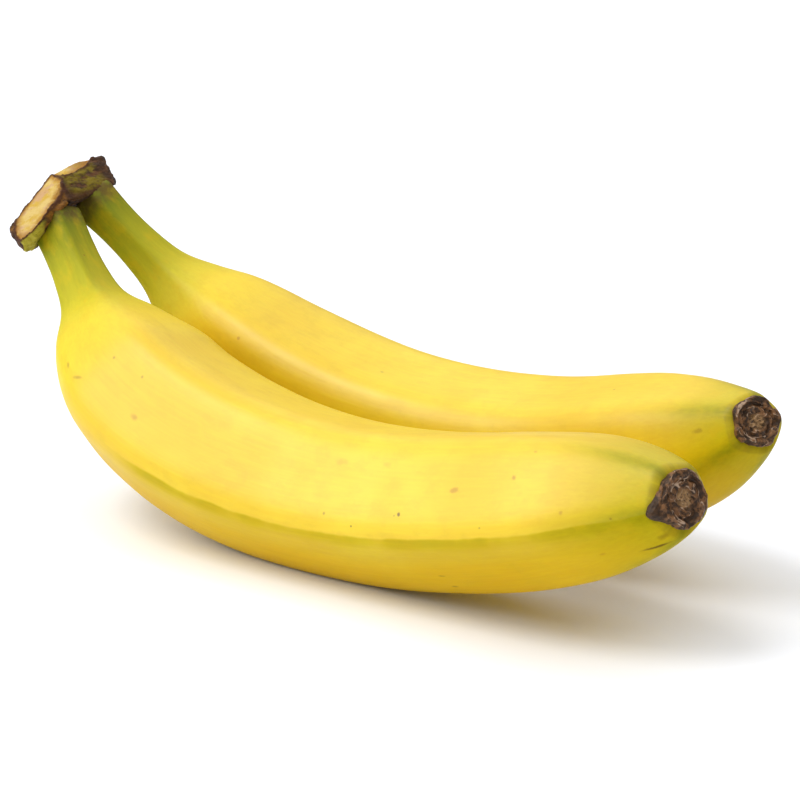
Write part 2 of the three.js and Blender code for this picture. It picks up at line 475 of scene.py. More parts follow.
# The small marks that the photograph shows, and a few alike on the hidden sides.
FRONT_MARKS = (
    Mark(0.203, 110, 2.2, 1.1, 0.5), Mark(0.227, 106, 3.6, 1.0, 0.45, turn=40),
    Mark(0.247, 74, 1.0, 1.0, 0.5),
    Mark(0.315, 96, 2.4, 1.5, 0.6, Tint.AMBER), Mark(0.294, 70, 0.9, 0.9, 0.5),
    Mark(0.759, 88, 2.8, 1.6, 0.65, Tint.AMBER), Mark(0.836, 80, 1.2, 1.2, 0.7, Tint.AMBER),
    Mark(0.689, 106, 1.0, 1.0, 0.8, Tint.DARK), Mark(0.683, 107, 0.6, 0.6, 0.6),
    Mark(0.627, 116, 0.6, 0.6, 0.85, Tint.DARK), Mark(0.589, 110, 0.9, 0.8, 0.6),
    Mark(0.797, 116, 0.8, 0.6, 0.55), Mark(0.596, 71, 4.0, 1.8, 0.3, Tint.AMBER),
    Mark(0.659, 70, 3.0, 1.4, 0.28, Tint.AMBER), Mark(0.709, 163, 2.2, 0.7, 0.5),
    Mark(0.711, 178, 2.2, 0.8, 0.5), Mark(0.858, 60, 1.2, 0.7, 0.45, Tint.AMBER),
    Mark(0.968, 180, 7.6, 0.9, 0.8, Tint.DARK, -20), Mark(0.982, 170, 2.8, 1.8, 0.5),
    Mark(0.919, 159, 1.8, 0.8, 0.5, Tint.AMBER), Mark(0.901, 110, 1.1, 1.0, 0.55, Tint.AMBER),
    Mark(0.953, 121, 0.7, 0.6, 0.6),
)
BACK_MARKS = (
    Mark(0.259, 51, 1.0, 0.9, 0.6, Tint.AMBER), Mark(0.953, 71, 3.0, 1.2, 0.4),
    Mark(0.45, 20, 1.4, 1.0, 0.45), Mark(0.62, 330, 2.4, 0.8, 0.5), Mark(0.8, 12, 0.9, 0.8, 0.5),
)

# Lengths in mm and angles in degrees; bend and sway are in degrees for each 10 mm.
FRONT_FORM = Form(
    length=207.8, middle=(0.3, -20.7, 17.9), heading=4.2, pitch=-2.0, roll=-26.3,
    bend=(-2.5, 0.1, 3.4, 7.2, 7.3, 4.4, 3.4, 1.5, -2.2),
    sway=(0.1, 0.5, 0.8, -0.9, -1.4, 1.1, 2.2, 0.4),
    radius=(6.1, 5.8, 6.1, 7.6, 12.2, 15.6, 17.8, 18.3, 18.4, 17.6, 17.0, 16.2, 14.1, 10.3, 6.3),
    first_ridge=51.6, end_turn=9.7,
)
BACK_FORM = Form(
    length=208.4, middle=(-2.5, 22.1, 18.2), heading=7.7, pitch=-1.8, roll=4.7,
    bend=(-0.5, 0.5, 2.0, 4.0, 5.7, 5.9, 4.6, 2.7, 2.6),
    sway=(0.2, 0.6, 0.8, 0.3, -0.1, 0.5, 1.6, 3.1),
    radius=(5.5, 4.9, 5.1, 6.3, 9.7, 13.4, 15.5, 17.1, 17.9, 17.7, 16.6, 15.6, 12.6, 8.6, 5.4),
    first_ridge=43.3, end_turn=6.8,
)


@dataclass(frozen=True)
class PeelFinish:
    """Ripe banana peel: a waxy satin skin over fine lengthwise fibres.

    It gives the eye a broad soft sheen, green that fades out along the necks and round the
    blossom ends, an olive line on a ridge, and freckles, rubs and scratches. Painted shade
    lies beneath that ridge, as a deeper gold underneath and as brown where the neck meets the
    crown. The real fibres are too fine to show, so they are drawn 0.7 mm wide.
    """

    ripe: str = "f4d41a"
    pale: str = "f8dc3c"
    golden: str = "efc80e"
    # painted shade: the deeper gold laid on the downward-facing side of the peel
    painted_shade_gold: str = "e2b106"
    # olive of the ridge line, also used for the band of painted shade beneath it
    line: str = "a89a00"
    tip_green: str = "b2aa18"
    tip_olive: str = "7c8406"
    cloudy: str = "dcb60c"
    freckle: str = "8a5a1c"
    rub: str = "d9a21c"
    # brown of dried skin, also painted shade at the neck's top under the crown
    dried_skin_and_shade_brown: str = "5a4320"
    depth: str = "ebebeb"
    neck: Sequence[tuple[float, str]] = (
        (0.0, "7f860a"), (0.035, "9b9a0e"), (0.07, "b2ac16"), (0.105, "c8bb1e"),
        (0.14, "dcc824"), (0.175, "e8cf22"), (0.22, "f0cf1a"))
    fibres: Sequence[tuple[float, str]] = ((0.3, "6c6c6c"), (0.7, "d8d8d8"))
    fibre_mm: float = 0.7
    fibre_squeeze: float = 0.045
    fibre_strength: float = 0.22
    pore_mm: float = 0.9
    grit_mm: float = 1.6
    cloud_mm: float = 3.2
    cloud_squeeze: float = 0.5
    freckle_mm: float = 5.0
    freckle_reach: float = 0.075
    uneven_mm: float = 9.0
    wander_mm: float = 16.0
    blotch_mm: float = 24.0
    shade_mm: float = 38.0
    relief_mm: float = 0.12
    relief_strength: float = 0.35
    ior: float = 1.45

    def material(self, name: str, marks: Sequence[Mark], form: Form) -> Material:
        """Make the peel's material.

        Args:
            name: the material's name.
            marks: the scratches and rubs on this banana.
            form: the banana's form, which says where the marks are.

        Returns:
            The material.
        """
        material, tree = new_material(name)
        node = partial(add, tree)
        skin = node(Node.ATTRIBUTE, attribute_name="skin", output="Vector")
        on = {key: node(Node.ATTRIBUTE, attribute_name=key)
              for key in ("along", "ridge", "side", "line", "under")}
        lengthwise, drawn = (node(Node.MAPPING, skin, (0, 0, 0), (0, 0, 0), (1.0, 1.0, squeeze))
                             for squeeze in (self.cloud_squeeze, self.fibre_squeeze))
        for key, place, size, detail, roughness in (
                ("tone", skin, self.shade_mm, 3.0, 0.55), ("wander", skin, self.wander_mm, 4.0, 0.5),
                ("uneven", skin, self.uneven_mm, 3.0, 0.5), ("grit", skin, self.grit_mm, 4.0, 0.5),
                ("pores", skin, self.pore_mm, 2.0, 0.5), ("fibre", drawn, self.fibre_mm, 3.0, 0.6),
                ("cloud", lengthwise, self.cloud_mm, 5.0, 0.7)):
            on[key] = node(Node.NOISE, place, size_mm(size), detail, roughness)

        # Broad changes of tone, and painted shade: a deeper gold on the side that lies down.
        peel = coated(tree, linear(self.golden), (
            (node(Node.EASE, on["tone"], 0.35, 0.65), self.ripe),
            (node(Node.EASE, on["tone"], 0.55, 0.8, 0.0, 0.5), self.pale),
            (node(Node.EASE, on["under"], 0.15, 0.9, 0.0, 0.6), self.painted_shade_gold)))
        peel = self.greened(tree, peel, on)

        # Fibres run from neck to tip, so the pattern is long along the fruit and fine across it.
        fibres = node(Node.RAMP, on["fibre"], stops=self.fibres)
        peel = node(Node.COAT, self.fibre_strength, peel, fibres, blend_type="SOFT_LIGHT")
        peel = coated(tree, peel, ((node(Node.EASE, on["cloud"], 0.42, 0.72, 0.0, 0.42), self.cloudy),))
        peel = self.speckled(tree, peel, skin, on["grit"])
        for mark in marks:
            shown = mark.mask(tree, form, skin, on["grit"])
            peel = coated(tree, peel, ((shown, mark.tint.value),))

        # Brown, dried skin where the neck goes into the crown and where the scar begins; at the neck its
        # wider brown is partly painted shade under the crown.
        dry_skin_and_shade = node(Node.PLUS, node(Node.EASE, on["plain_place"], 0.026, 0.004),
                   node(Node.EASE, on["plain_place"], 0.984, 0.996))
        dry_skin_and_shade = node(Node.TIMES, dry_skin_and_shade, node(Node.EASE, on["grit"], 0.3, 0.6, 0.3, 0.8))
        peel = coated(tree, peel, ((dry_skin_and_shade, self.dried_skin_and_shade_brown),))
        peel = node(Node.COAT, 1.0, peel, linear(self.depth), blend_type="MULTIPLY")

        relief = node(Node.PLUS, node(Node.TIMES, on["fibre"], 0.6), node(Node.TIMES, on["pores"], 0.4))
        bump = node(Node.BUMP, relief, self.relief_mm * MM, self.relief_strength)
        satin = node(Node.PLUS, node(Node.EASE, on["tone"], 0.3, 0.7, 0.46, 0.4),
                     node(Node.EASE, on["along"], 0.26, 0.1, 0.0, 0.14))

        # The wax shines least on the green necks, underneath, along the olive line and at the tip.
        wax = node(Node.EASE, on["along"], 0.08, 0.28, 0.2, 0.75)
        for key, low, high, most in (("under", -0.2, 0.6, 0.12), ("olive_line_and_painted_shade", 0.0, 0.5, 0.3),
                                     ("tip_place", 0.88, 1.0, 0.45)):
            wax = node(Node.TIMES, wax, node(Node.EASE, on[key], low, high, 1.0, most))
        node(Node.SURFACE, node(Node.SHADER, peel, satin, bump, self.ior, wax))
        return material

    def greened(self, tree: NodeTree, peel: NodeSocket, on: dict[str, NodeSocket]) -> NodeSocket:
        """Add the green of the unripe ends and the olive band along a ridge, with painted shade beneath
        it.

        Args:
            tree: the peel's node tree.
            peel: the peel's colour so far.
            on: the peel's attributes and patterns; the places along it and the band are added.

        Returns:
            The peel's colour with its greens.
        """
        node = partial(add, tree)

        # The green's edge wanders, and it runs further along the ridges.
        astray = node(Node.MINUS, on["wander"], 0.5)
        near_ridge = node(Node.EASE, on["ridge"], 5.0, 0.0)
        for key, stray, pull in (("neck_place", 0.07, -0.018), ("plain_place", 0.012, 0.0),
                                 ("tip_place", 0.05, 0.03)):
            place = node(Node.PLUS, on["along"], node(Node.TIMES, astray, stray))
            on[key] = node(Node.PLUS, place, node(Node.TIMES, near_ridge, pull))
        neck = node(Node.RAMP, on["neck_place"], stops=self.neck)
        peel = node(Node.COAT, node(Node.EASE, on["neck_place"], 0.22, 0.15), peel, neck)
        olive = node(Node.TIMES, node(Node.EASE, on["tip_place"], 0.92, 1.03),
                     node(Node.EASE, on["ridge"], 2.6, 0.0, 0.04, 0.6))

        # The olive band stays longest along a ridge, on the side away from the hollow; its faint part
        # that reaches 11 mm from the ridge is painted shade beneath the ridge.
        uneven = node(Node.MINUS, on["uneven"], 0.5)
        below = node(Node.PLUS, on["ridge"], node(Node.TIMES, uneven, 1.6))
        ragged = node(Node.PLUS, on["side"], node(Node.TIMES, uneven, 0.3))
        olive_line_and_painted_shade = node(Node.PLUS, node(Node.EASE, below, 3.4, 0.2, 0.0, 0.36),
                      node(Node.EASE, below, 11.0, 1.0, 0.0, 0.26))
        for share in (node(Node.EASE, ragged, -0.14, 0.06), on["line"],
                      node(Node.EASE, on["uneven"], 0.3, 0.65, 0.55, 1.0)):
            olive_line_and_painted_shade = node(Node.TIMES, olive_line_and_painted_shade, share)
        on["olive_line_and_painted_shade"] = olive_line_and_painted_shade
        return coated(tree, peel, (
            (node(Node.EASE, on["tip_place"], 0.86, 1.0, 0.0, 0.62), self.tip_green),
            (olive, self.tip_olive), (olive_line_and_painted_shade, self.line)))

    def speckled(self, tree: NodeTree, peel: NodeSocket, skin: NodeSocket,
                 grit: NodeSocket) -> NodeSocket:
        """Add brown freckles of up to about 0.8 mm, and soft tan rubs a few millimetres wide.

        Args:
            tree: the peel's node tree.
            peel: the peel's colour so far.
            skin: the straightened place on the skin.
            grit: the fine pattern that breaks the rubs up.

        Returns:
            The peel's colour with its freckles and rubs.
        """
        node = partial(add, tree)
        cells, smudges = (node(Node.CELLS, skin, size_mm(size))
                          for size in (self.freckle_mm, self.blotch_mm))
        chance = node(Node.SPLIT, cells.node.outputs["Color"])
        worn = node(Node.SPLIT, smudges.node.outputs["Color"], output="Green")
        reach = node(Node.TIMES, node(Node.POWER, chance, 4.0), self.freckle_reach)
        reach = node(Node.OVER, cells, node(Node.PLUS, reach, 0.001))
        patch = node(Node.TIMES, node(Node.EASE, smudges, 0.13, 0.03), node(Node.EASE, worn, 0.35, 0.9))
        patch = node(Node.TIMES, patch, node(Node.EASE, grit, 0.35, 0.65, 0.05, 0.32))
        return coated(tree, peel, (
            (node(Node.EASE, reach, 1.0, 0.4, 0.0, 0.55), self.freckle), (patch, self.rub)))


@dataclass
class Piece:
    """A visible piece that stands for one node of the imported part."""

    name: str
    node: str
    slot: str

    def dress(self, shape: Object, material: Material) -> None:
        """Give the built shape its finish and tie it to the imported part.

        Args:
            shape: the piece's object.
            material: its finish.
        """
        shape.data.materials.append(material)
        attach(shape, "root")
        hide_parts(self.node)
        LOG.info("%s: %d faces, stands for %s", shape.name, len(shape.data.polygons), self.node)


@dataclass
class Banana(Piece):
    """One fruit, from inside the crown to where its blossom scar begins."""

    form: Form
    marks: Sequence[Mark] = ()
    line_ridges: dict[int, float] = field(default_factory=dict)
    steps: int = 84
    points_per_face: int = 12
    shoulder: Sequence[tuple[float, float]] = ((0.91, 0.36), (0.91, 0.28), (0.9, 0.2), (0.88, 0.1))
    crispness: float = 7.5
    neck_crispness: float = 7.5
    tip_softness: float = 2.5
    swell: tuple[float, float] = (34.0, 0.2)
    dimple: tuple[float, float] = (11.0, 0.06)
    line_start: tuple[float, float] = (0.27, 0.36)
    seed: float = 0.0

    def sharpness(self, fraction: float) -> float:
        """Give how crisp the section's corners are: crisper on the neck than on the body."""
        return (self.crispness + self.neck_crispness * smoothstep(fraction, 0.2, 0.08)
                - self.tip_softness * smoothstep(fraction, 0.82, 0.97))

    def section(self, fraction: float) -> Callable[[float], float]:
        """Make the rounded pentagon at a place along the fruit.

        Args:
            fraction: where the section is.

        Returns:
            A function of the angle that gives the reach as a share of the mean radius.
        """
        sharp = self.sharpness(fraction)

        def reach(angle: float) -> float:
            """Give the reach of the unscaled pentagon."""
            total = 0.0
            for face in range(RIDGES):
                facing = self.form.first_ridge + (face + 0.5) * 360 / RIDGES
                total += max(0.0, math.cos(math.radians(angle - facing))) ** sharp
            return total ** (-1 / sharp)

        count = RIDGES * self.points_per_face
        mean = sum(reach(self.form.first_ridge + i * 360 / count) for i in range(count)) / count
        return lambda angle: reach(angle) / mean

    def relief(self, place: Vector, fraction: float) -> float:
        """Give the unevenness of a grown skin.

        Args:
            place: the straightened place, in mm.
            fraction: the place's share of the length.

        Returns:
            How far the skin stands out there, in mm.
        """
        swell = self.swell[1] * noise.noise(place / self.swell[0] + Vector((self.seed, 0, 0)))
        dimple = self.dimple[1] * noise.noise(place / self.dimple[0] + Vector((0, self.seed, 5)))
        return (swell + dimple) * smoothstep(fraction, 0.02, 0.2)

    def build(self) -> Object:
        """Grow the skin ring by ring from the neck to the blossom end.

        Returns:
            The skin, with its straightened place, its share along and its ridges as attributes.
        """
        count = RIDGES * self.points_per_face
        radius = Curve(RADIUS_AT, self.form.radius)
        bm = bmesh.new()
        spoke = bm.verts.layers.int.new("spoke")
        skin = bm.verts.layers.float_vector.new("skin")
        along, ridge, side, line, under = (
            bm.verts.layers.float.new(key) for key in ("along", "ridge", "side", "line", "under"))
        ring = bmesh.ops.create_circle(bm, cap_ends=True, segments=count, radius=1)["verts"]
        for i, vert in enumerate(ring):
            vert[spoke] = i
        frames = self.form.frames(self.steps)
        for index, frame in enumerate(frames):
            if index:
                ring = next_ring(bm, ring)
            section = self.section(frame.fraction)
            mean = radius.at(frame.fraction)
            for vert in ring:
                turn = vert[spoke] / self.points_per_face
                angle = self.form.first_ridge + turn * 360 / RIDGES
                reach = mean * section(angle)
                flat = Vector((mean * math.cos(math.radians(angle)),
                               mean * math.sin(math.radians(angle)),
                               frame.fraction * self.form.length))
                reach += self.relief(flat, frame.fraction)
                vert.co = frame.point + reach * frame.out(angle)
                vert.co.z = max(vert.co.z, 0.0)
                nearest = round(turn)
                vert[skin] = flat * MM
                vert[along] = frame.fraction
                vert[ridge] = abs(turn - nearest) * math.radians(360 / RIDGES) * mean
                vert[side] = math.sin(math.tau * turn)
                vert[under] = -frame.out(angle).z
                vert[line] = (self.line_ridges.get(nearest % RIDGES, 0.0)
                              * smoothstep(frame.fraction, *self.line_start)
                              * smoothstep(abs(turn - nearest), 0.5, 0.3))
        end = frames[-1]
        for shrink, rise in self.shoulder:
            ring = next_ring(bm, ring)
            for vert in ring:
                vert.co = end.point + shrink * (vert.co - end.point) + rise * end.along()
        bmesh.ops.contextual_create(bm, geom=rim_edges(bm, ring))
        piece = finish_mesh(self.name, bm)
        subdivision = piece.modifiers.new("smooth skin", "SUBSURF")
        subdivision.levels = subdivision.render_levels = 1
        return piece


@dataclass(frozen=True)
class Patches:
    """A mottled coat on the crown: its colour, its patches in mm, where and how far it covers."""

    colour: str
    size: float
    low: float
    high: float
    most: float = 1.0
    mask: str = ""
    drawn: bool = False


@dataclass(frozen=True)
class CrownFinish:
    """Dried crown: leathery brown skin round fibrous faces that a knife left tan.

    It gives the eye tan and ochre cut faces with a thin dark rim, an amber band under the
    slanting face, and a rough front that is dark brown with olive patches.
    """

    skin: str = "3a230f"
    cut: str = "cdb26a"
    skin_coats: Sequence[Patches] = (
        Patches("6a4526", 1.8, 0.42, 0.68, drawn=True),
        Patches("7d6c0c", 2.6, 0.42, 0.58, 0.9, "fresh", True),
        Patches("9a6718", 1.6, 0.35, 0.65, 0.75, "band", True),
        Patches("b4a834", 1.6, 0.2, 0.4, mask="under"),
    )
    cut_coats: Sequence[Patches] = (
        Patches("c29e3a", 6.0, 0.4, 0.56),
        Patches("bc9474", 4.2, 0.48, 0.66, 0.75),
        Patches("9a6718", 0.8, 0.58, 0.72, 0.5),
        Patches("84602c", 1.5, 0.25, 0.5, mask="aged", drawn=True),
        Patches("9a6718", 1.4, 0.2, 0.5, 0.85, "edge"),
    )
    rim_coats: Sequence[Patches] = (Patches("4a2812", 1.0, 0.25, 0.45, 0.95, "rim"),)
    draw: float = 0.45
    fibre_mm: float = 0.6
    relief_mm: float = 0.5
    roughness: float = 0.72
    ior: float = 1.45
    gloss: float = 0.3

    def material(self) -> Material:
        """Make the crown's material from the masks that its mesh carries.

        Returns:
            The material.
        """
        material, tree = new_material("dried_banana_crown")
        node = partial(add, tree)
        grain = node(Node.MAPPING, node(Node.PLACE), (0, 0, 0), (0, math.radians(CROWN_LEAN), 0))
        drawn = node(Node.MAPPING, grain, (0, 0, 0), (0, 0, 0), (1.0, self.draw, 1.0))

        def mottled(ground: Any, coats: Sequence[Patches]) -> NodeSocket:
            """Lay mottled coats over a ground.

            Args:
                ground: the colour under the coats.
                coats: the coats, the lowest first.

            Returns:
                The colour with its coats on.
            """
            for coat in coats:
                pattern = node(Node.NOISE, drawn if coat.drawn else grain, size_mm(coat.size), 4.0, 0.62)
                share = node(Node.EASE, pattern, coat.low, coat.high, 0.0, coat.most)
                if coat.mask:
                    share = node(Node.TIMES, share, node(Node.ATTRIBUTE, attribute_name=coat.mask))
                ground = coated(tree, ground, ((share, coat.colour),))
            return ground

        body = node(Node.COAT, node(Node.ATTRIBUTE, attribute_name="cut"),
                    mottled(linear(self.skin), self.skin_coats),
                    mottled(linear(self.cut), self.cut_coats))
        body = mottled(body, self.rim_coats)
        bump = node(Node.BUMP, node(Node.NOISE, drawn, size_mm(self.fibre_mm), 5.0, 0.65),
                    self.relief_mm * MM, 1.0)
        node(Node.SURFACE, node(Node.SHADER, body, self.roughness, bump, self.ior, self.gloss))
        return material


class Knife:
    """A knife's cut across the crown: a flat outline that a place can be tested against."""

    def __init__(self, face: CutFace) -> None:
        """Work out the mean plane and the edges of a cut face.

        Args:
            face: the cut face.
        """
        self.corners = [Vector(c) for c in face.value]
        self.centre = sum(self.corners, Vector()) / len(self.corners)
        self.normal = Vector()
        onward = self.corners[1:] + self.corners[:1]
        for corner, following in zip(self.corners, onward):
            self.normal += (corner - self.centre).cross(following - self.centre)
        self.normal.normalize()
        if self.normal.z < 0:
            self.normal.negate()
        self.inward = []
        for corner, following in zip(self.corners, onward):
            inward = self.normal.cross(following - corner).normalized()
            if inward.dot(self.centre - corner) < 0:
                inward.negate()
            self.inward.append(inward)

    def inside(self, place: Vector) -> float:
        """Measure how far inside the outline a place is, in mm; outside is less than 0."""
        return min((place - corner).dot(inward) for corner, inward in zip(self.corners, self.inward))


@dataclass
class Crown(Piece):
    """The chunk of stalk over both necks, with its knife cuts, thin rims and rough skin.

    Sizes are in mm. Each pair is the size and the height of one unevenness: of the knives'
    edges, of the torn skin and of the cut fibres.
    """

    MASKS: ClassVar[Sequence[str]] = ("cut", "rim", "fresh", "under", "band", "aged", "edge")

    voxel: float = 0.25
    cut_depth: float = 0.2
    rim_height: float = 0.22
    rim_width: float = 0.3
    edge_width: float = 2.1
    edge_waves: Sequence[tuple[float, float]] = ((1.3, 0.16), (3.1, 0.12))
    tears: tuple[float, float] = (1.9, 0.42)
    grit: tuple[float, float] = (0.6, 0.08)
    fibres: Sequence[tuple[float, float]] = ((0.8, 0.08), (2.5, 0.1))

    def build(self) -> Object:
        """Fuse the bar and the slab, roughen the skin and press in the cut faces.

        Returns:
            The crown, with masks for its cut faces, rims, patches, underside and band.
        """
        bm = bmesh.new()
        for corners in (CROWN_BAR, CROWN_SLAB):
            verts = [bm.verts.new(c) for c in dict.fromkeys(corners)]
            hull = bmesh.ops.convex_hull(bm, input=verts)
            inner = [g for g in hull["geom_interior"] if isinstance(g, BMVert)]
            bmesh.ops.delete(bm, geom=inner, context="VERTS")
        bm = fused(bm, self.voxel)
        layers = {key: bm.verts.layers.float.new(key) for key in self.MASKS}
        bmesh.ops.smooth_vert(bm, verts=bm.verts, factor=0.5, use_axis_x=True, use_axis_y=True,
                              use_axis_z=True)
        bm.normal_update()
        knives = [Knife(face) for face in CutFace]
        moves = []
        for vert in bm.verts:
            place, normal = vert.co.copy(), vert.normal.copy()
            wobble = sum(height * noise.noise(place / size) for size, height in self.edge_waves)
            cut = rim = edge = 0.0
            for knife in knives:
                faces = smoothstep(normal.dot(knife.normal), 0.1, 0.35)
                inside = knife.inside(place) + wobble
                width = self.rim_width
                cut = max(cut, faces * smoothstep(inside, width * 0.4, width * 1.2))
                rim = max(rim, faces * smoothstep(abs(inside), width * 1.5, width * 0.5))
                near = smoothstep(inside, self.edge_width, self.rim_width)
                edge = max(edge, faces * near * smoothstep(inside, -0.5, 0.0))
            rim *= 1 - cut

            # Zones by place in the crown frame, in mm: the front, its foot, its middle and the rest.
            front = smoothstep(normal.x, 0.2, 0.6)
            low = smoothstep(place.z, 1.9, 0.7) * smoothstep(place.y, -8.5, -6.5)
            vert[layers["cut"]] = cut
            vert[layers["rim"]] = max(rim, 0.85 * front * low)
            vert[layers["fresh"]] = front * smoothstep(abs(place.y + 0.5), 7.5, 4.0)
            vert[layers["under"]] = smoothstep(normal.z, -0.25, -0.55) * smoothstep(place.y, -16.0, -18.0)
            vert[layers["band"]] = smoothstep(normal.x, 0.1, 0.5) * smoothstep(place.y, -8.2, -9.6)
            vert[layers["aged"]] = smoothstep(place.y, -3.0, 6.0)
            vert[layers["edge"]] = edge
            drawn = Vector((place.x, place.y * 0.6, place.z)) / self.tears[0]
            rough = (self.tears[1] * noise.fractal(drawn, 0.8, 2.1, 4)
                     + self.grit[1] * noise.noise(place / self.grit[0]))
            fibre = sum(height * noise.noise(place / size) for size, height in self.fibres)
            height = (1 - cut) * rough + cut * (fibre - self.cut_depth) + rim * self.rim_height
            moves.append(height * normal)
        for vert, move in zip(bm.verts, moves):
            vert.co += move
        leant = Matrix.Translation(CROWN_CENTRE) @ Matrix.Rotation(-math.radians(CROWN_LEAN), 4, "Y")
        bmesh.ops.transform(bm, matrix=leant, verts=bm.verts)
        return finish_mesh(self.name, bm)


@dataclass(frozen=True)
class HuskFinish:
    """Dried flower husk: brittle, nearly black brown, with paler edges on its folds and painted shade in
    their hollows.
    """

    dark: str = "32200f"
    brown: str = "7a5432"
    edge: str = "ba9e84"
    heart: str = "98764e"
    grit_mm: float = 1.1
    relief_mm: float = 0.25
    roughness: float = 0.5
    ior: float = 1.45
    gloss: float = 0.3

    def material(self) -> Material:
        """Make the husk's material from how high and how far out each place is.

        Returns:
            The material.
        """
        material, tree = new_material("dried_blossom_husk")
        node = partial(add, tree)
        high, out = (node(Node.ATTRIBUTE, attribute_name=key) for key in ("high", "out"))
        grit = node(Node.NOISE, node(Node.PLACE), size_mm(self.grit_mm), 5.0, 0.65)
        heart = node(Node.TIMES, node(Node.EASE, out, 0.42, 0.24), node(Node.EASE, grit, 0.35, 0.5))
        husk = coated(tree, linear(self.dark), (
            (node(Node.EASE, grit, 0.4, 0.62), self.brown),
            # painted shade: the lowest places of the crumpled folds are darkened back to the dark ground
            (node(Node.EASE, high, -0.1, -0.9, 0.0, 0.8), self.dark), (heart, self.heart),
            (node(Node.EASE, high, 0.72, 1.05, 0.0, 0.8), self.edge)))
        bump = node(Node.BUMP, grit, self.relief_mm * MM, 0.6)
        node(Node.SURFACE, node(Node.SHADER, husk, self.roughness, bump, self.ior, self.gloss))
        return material


@dataclass
class BlossomScar(Piece):
    """The dried flower base on a fruit's end: a folded rim, a groove, an inner ring and a heart.

    Its profile gives each ring's height and width, as shares of the scar's length and radius,
    and each ball of its lobe is given by its radius and how far out and aside it lies, in mm.
    """

    form: Form
    radius: float
    lobe: bool = False
    seed: float = 0.0
    voxel: float = 0.14
    steps: int = 42
    points: int = 96
    fold: float = 0.1
    corner: float = 0.04
    lift: float = 0.35
    crest: float = 0.22
    grain: float = 0.12
    crumple_seed: int = 1

    PROFILE: ClassVar[Sequence[tuple[float, float]]] = (
        (-0.9, 0.88), (-0.3, 0.94), (0.1, 1.0), (0.4, 1.05), (0.7, 1.05), (0.92, 0.99),
        (1.0, 0.91), (0.96, 0.83), (0.8, 0.76), (0.66, 0.7), (0.68, 0.63), (0.85, 0.56),
        (0.92, 0.5), (0.84, 0.43), (0.66, 0.37), (0.62, 0.31), (0.7, 0.24), (0.76, 0.15),
        (0.74, 0.06))
    LOBE: ClassVar[Sequence[tuple[float, float, float]]] = (
        (1.5, 7.8, 0.0), (1.8, 4.6, 1.9), (1.8, 4.6, -1.9))

    def build(self) -> Object:
        """Raise the rings, add the lobe, fuse them and crumple the skin.

        Returns:
            The scar, with how high and how far out each place is as attributes.
        """
        base = self.form.frames(self.steps)[-1]
        along = base.along()
        bm = bmesh.new()
        spoke = bm.verts.layers.int.new("spoke")
        ring = bmesh.ops.create_circle(bm, cap_ends=True, segments=self.points, radius=1)["verts"]
        for i, vert in enumerate(ring):
            vert[spoke] = i
        for index, (height, width) in enumerate(self.PROFILE):
            if index:
                ring = next_ring(bm, ring)
            for vert in ring:
                angle = vert[spoke] * 360 / self.points
                around = base.out(angle)
                fold = noise.noise(around * 2.6 + Vector((self.seed, width * 2.0, height)))
                lift = noise.noise(around * 3.4 + Vector((width * 3.0, self.seed, 9.0)))
                corner = math.cos(math.radians(RIDGES * (angle - self.form.first_ridge)))
                reach = self.radius * width * (1 + self.fold * fold + self.corner * corner)
                rise = (GAP + height * (SCAR_LENGTH - GAP)) + self.lift * lift
                vert.co = base.point + reach * around + rise * along
        bmesh.ops.contextual_create(bm, geom=rim_edges(bm, ring))
        if self.lobe:
            out = base.out(self.form.first_ridge + 360 / RIDGES)
            across = out.cross(along)
            rings_end = len(bm.verts)
            for size, outward, aside in self.LOBE:
                spot = base.point + outward * out + aside * across + GAP * along
                bmesh.ops.create_icosphere(bm, subdivisions=2, radius=size,
                                           matrix=Matrix.Translation(spot))
            inner = bmesh.ops.convex_hull(bm, input=list(bm.verts)[rings_end:])["geom_interior"]
            bmesh.ops.delete(bm, geom=[g for g in inner if isinstance(g, BMVert)],
                             context="VERTS")
        bm = fused(bm, self.voxel)
        high = bm.verts.layers.float.new("high")
        outward = bm.verts.layers.float.new("out")
        across = base.out(90)
        moves = []
        noise.seed_set(self.crumple_seed)
        for vert in bm.verts:
            local = vert.co - base.point
            flat = local - local.dot(along) * along
            share = flat.length / self.radius
            angle = math.atan2(flat.dot(across), flat.dot(base.out(0)))
            wave = Vector((share * 4.6 + self.seed, math.cos(angle) * 1.1, math.sin(angle) * 1.1))
            crest = 1 - 4.5 * abs(noise.noise(wave + 0.28 * noise.noise_vector(local / 1.6)))
            crest = min(crest, 1 - 2 * smoothstep(share, 0.98, 1.2))
            grain = noise.noise(vert.co / 0.8)
            vert[high] = crest + 0.35 * grain
            vert[outward] = share
            moves.append((self.crest * max(crest, -1) - 0.05 + self.grain * grain) * vert.normal)
        for vert, move in zip(bm.verts, moves):
            vert.co += move
        return finish_mesh(self.name, bm)


@dataclass(frozen=True)
class PaperFinish:
    """Matt white studio paper: it shows soft shadows and no grain at this distance."""

    white: str = "f2f5fc"
    tooth_mm: float = 1.5
    relief_mm: float = 0.02
    roughness: float = 0.6

    def material(self) -> Material:
        """Make the paper's material, with a faint tooth.

        Returns:
            The material.
        """
        material, tree = new_material("studio_paper")
        tooth = add(tree, Node.NOISE, add(tree, Node.PLACE), size_mm(self.tooth_mm))
        bump = add(tree, Node.BUMP, tooth, self.relief_mm * MM, 0.2)
        add(tree, Node.SURFACE, add(tree, Node.SHADER, linear(self.white), self.roughness, bump))
        return material


@dataclass(frozen=True)
class SoftBox:
    """A large soft lamp: where it stands, how wide it is and how strong."""

    name: str
    place: tuple[float, float, float]
    width: float
    watts: float


@dataclass(frozen=True)
class Overhead:
    """A far light from above: where it comes from, how many degrees wide it is, how strong."""

    name: str
    towards: tuple[float, float, float]
    spread: float
    strength: float


